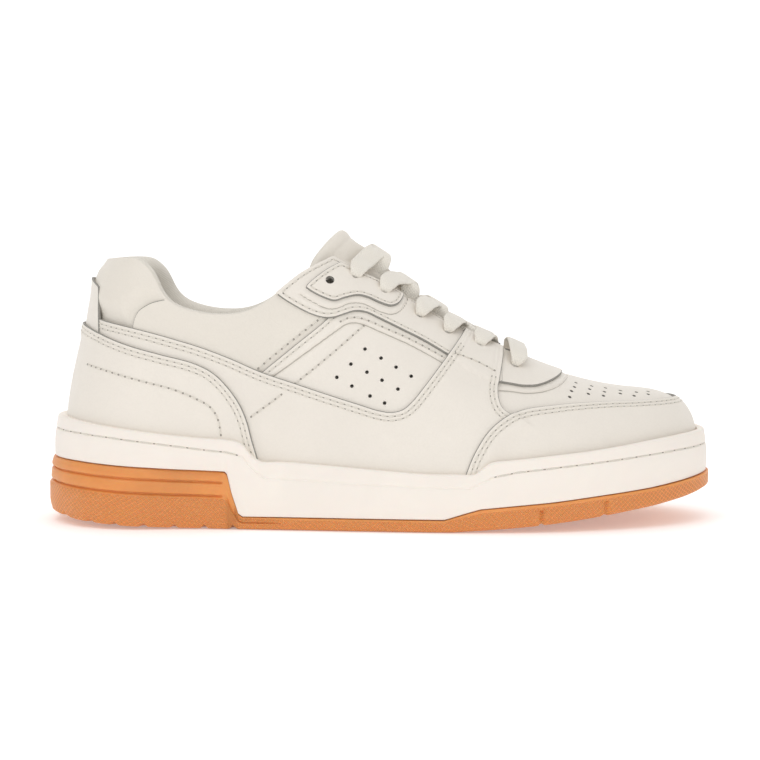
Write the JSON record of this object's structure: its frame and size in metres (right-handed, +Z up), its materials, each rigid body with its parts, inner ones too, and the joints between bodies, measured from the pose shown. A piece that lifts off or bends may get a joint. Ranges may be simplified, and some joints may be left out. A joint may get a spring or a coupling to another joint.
{
  "type": "court shoe",
  "caption": "Low lace-up court shoe for the right foot: stitched leather panels with a padded collar and tongue, a rubber cupsole wall and a gum outsole with a raised heel block.",
  "frame": {"origin": "centre of the bounding box in plan, on the ground plane under the outsole", "axes": "+X towards the toe, +Y towards the inner (medial) side of this right shoe, +Z up"},
  "size_m": [0.2697, 0.1009, 0.1173],
  "materials": {
    "leather": "smooth off-white full-grain leather, satin",
    "wall": "cream rubber, matt",
    "gum": "natural gum rubber, semi-matt",
    "foam": "white cellular foam",
    "board": "stiff non-woven board",
    "textile": "knitted lining, matt",
    "lace": "flat woven cord, matt"
  },
  "bodies": {
    "shoe": {"outsole": "gum", "cupsole": "wall", "midsole_foam": "foam", "collar_padding": "foam", "strobel_board": "board", "heel_counter": "board", "toe_puff": "board", "collar_lining": "textile", "vamp_lining": "textile", "lace": "lace", "vamp": "leather", "toe_overlay": "leather", "throat_overlay": "leather", "heel_overlay": "leather", "heel_panel": "leather", "back_tab": "leather", "lateral_quarter": "leather", "lateral_eyestay": "leather", "lateral_eyelet_overlay": "leather", "lateral_side_panel": "leather", "lateral_collar_panel": "leather", "medial_quarter": "leather", "medial_eyestay": "leather", "medial_eyelet_overlay": "leather", "medial_side_panel": "leather", "medial_collar_panel": "leather"},
    "tongue": {"tongue": "leather", "tongue_lining": "textile"},
    "sockliner": {"sockliner": "textile"}
  },
  "joints": [
    {"name": "tongue_press", "type": "hinge", "parent": "shoe", "child": "tongue", "pos_m": [0.057, 0, 0.058], "axis": [0, 1, 0], "range_deg": [-10, 0], "stiffness_Nm_per_rad": 0.2, "springref_deg": 6.88},
    {"name": "sockliner_lift", "type": "hinge", "parent": "shoe", "child": "sockliner", "pos_m": [0.122, 0, 0.022], "axis": [0, 1, 0], "range_deg": [0, 4]}
  ]
}
